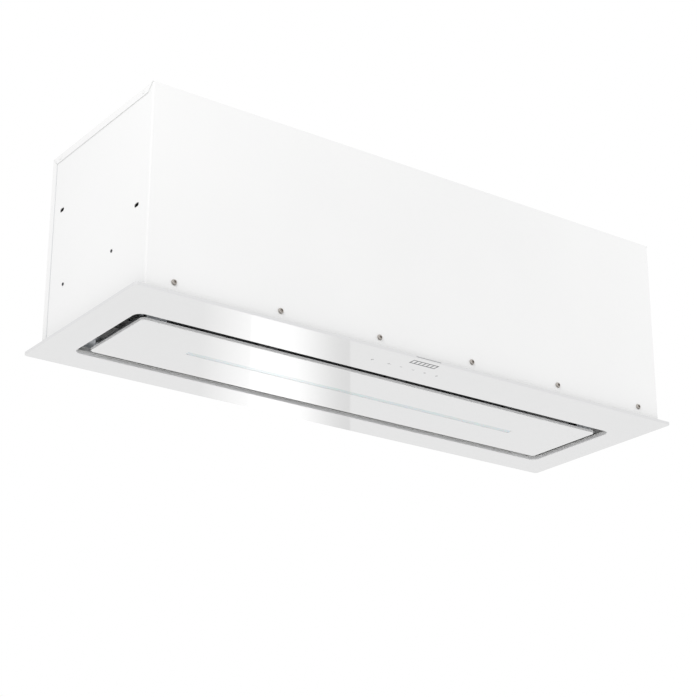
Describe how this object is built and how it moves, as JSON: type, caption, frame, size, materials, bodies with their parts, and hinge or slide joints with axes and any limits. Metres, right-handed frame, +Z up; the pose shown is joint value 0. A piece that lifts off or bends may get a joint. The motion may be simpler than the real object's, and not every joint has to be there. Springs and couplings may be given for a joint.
{
  "type": "ceiling range hood",
  "caption": "Flush ceiling range hood: white glass rim, hinged glass door panel with a light strip and suction gap all round, grease filters, blower and duct collar in a steel housing.",
  "frame": {"origin": "centre of the underside of the glass rim, which lies flush under the ceiling", "axes": "+Z up into the ceiling, +X along the hood, -Y towards the touch keys"},
  "size_m": [0.9, 0.298, 0.326],
  "materials": {
    "white_glass": "gloss",
    "white_paint": "satin",
    "grey_paint": "satin",
    "galvanised_steel": "satin",
    "screw_steel": "satin",
    "magnet": "matte",
    "aluminium": "satin",
    "filter_mesh": "matte",
    "diffuser": "matte",
    "board": "matte",
    "gasket": "matte",
    "wheel_plastic": "matte",
    "collar_plastic": "matte",
    "flap_plastic": "matte",
    "white_plastic": "satin"
  },
  "bodies": {
    "hood": {"glass_rim": "white_glass", "rim_carrier": "galvanised_steel", "housing_shell": "white_paint", "housing_top": "white_paint", "housing_back": "white_paint", "cover_rivets": "white_paint", "rim_screws": "screw_steel", "shelf_screws": "screw_steel", "recess_lining": "white_paint", "filter_shelf": "grey_paint", "filter_ledge": "grey_paint", "filter_magnets": "magnet", "hinge_bracket_left": "screw_steel", "hinge_bracket_right": "screw_steel", "hinge_pins": "screw_steel", "catch_arm_left": "screw_steel", "catch_arm_right": "screw_steel", "catch_magnets": "magnet", "scroll_wrap": "galvanised_steel", "scroll_cheek_left": "galvanised_steel", "scroll_cheek_right": "galvanised_steel", "outlet_gasket": "gasket", "motor_can": "galvanised_steel", "motor_bearings": "screw_steel", "motor_bracket": "galvanised_steel", "motor_screws": "screw_steel", "duct_collar": "collar_plastic", "collar_screws": "screw_steel", "flap_pin": "screw_steel", "hanger_rail_left": "galvanised_steel", "hanger_rail_right": "galvanised_steel", "control_box": "collar_plastic", "control_board": "board", "control_lid": "collar_plastic", "led_driver": "white_plastic", "capacitor": "white_plastic", "cable_gland": "collar_plastic", "key_board": "board", "key_cover": "collar_plastic"},
    "door_panel": {"panel_glass": "white_glass", "panel_tray": "grey_paint", "light_diffuser": "diffuser", "light_channel": "aluminium", "led_board": "board", "hinge_leaf_left": "screw_steel", "hinge_leaf_right": "screw_steel", "catch_keepers": "screw_steel"},
    "rotor": {"impeller": "wheel_plastic", "motor_shaft": "screw_steel"},
    "flap_near": {"flap_near": "flap_plastic"},
    "flap_far": {"flap_far": "flap_plastic"},
    "filter_1": {"filter_frame_1": "aluminium", "filter_mesh_1": "filter_mesh", "filter_handle_1": "screw_steel"},
    "filter_2": {"filter_frame_2": "aluminium", "filter_mesh_2": "filter_mesh", "filter_handle_2": "screw_steel"},
    "filter_3": {"filter_frame_3": "aluminium", "filter_mesh_3": "filter_mesh", "filter_handle_3": "screw_steel"}
  },
  "joints": [
    {"name": "door_hinge", "type": "hinge", "parent": "hood", "child": "door_panel", "pos_m": [0, -0.049, 0.014], "axis": [-1, 0, 0], "range_deg": [0, 90]},
    {"name": "rotor_spin", "type": "hinge", "parent": "hood", "child": "rotor", "pos_m": [0, -0.04786, 0.186], "axis": [1, 0, 0], "continuous": true},
    {"name": "flap_near_hinge", "type": "hinge", "parent": "hood", "child": "flap_near", "pos_m": [0, 0.0075, 0.304], "axis": [-1, 0, 0], "range_deg": [0, 75]},
    {"name": "flap_far_hinge", "type": "hinge", "parent": "hood", "child": "flap_far", "pos_m": [0, 0.0075, 0.304], "axis": [1, 0, 0], "range_deg": [0, 75]},
    {"name": "filter_1_tilt", "type": "hinge", "parent": "hood", "child": "filter_1", "pos_m": [-0.22667, 0.1, 0.06515], "axis": [1, 0, 0], "range_deg": [0, 15]},
    {"name": "filter_2_tilt", "type": "hinge", "parent": "hood", "child": "filter_2", "pos_m": [0, 0.1, 0.06515], "axis": [1, 0, 0], "range_deg": [0, 15]},
    {"name": "filter_3_tilt", "type": "hinge", "parent": "hood", "child": "filter_3", "pos_m": [0.22667, 0.1, 0.06515], "axis": [1, 0, 0], "range_deg": [0, 15]}
  ]
}
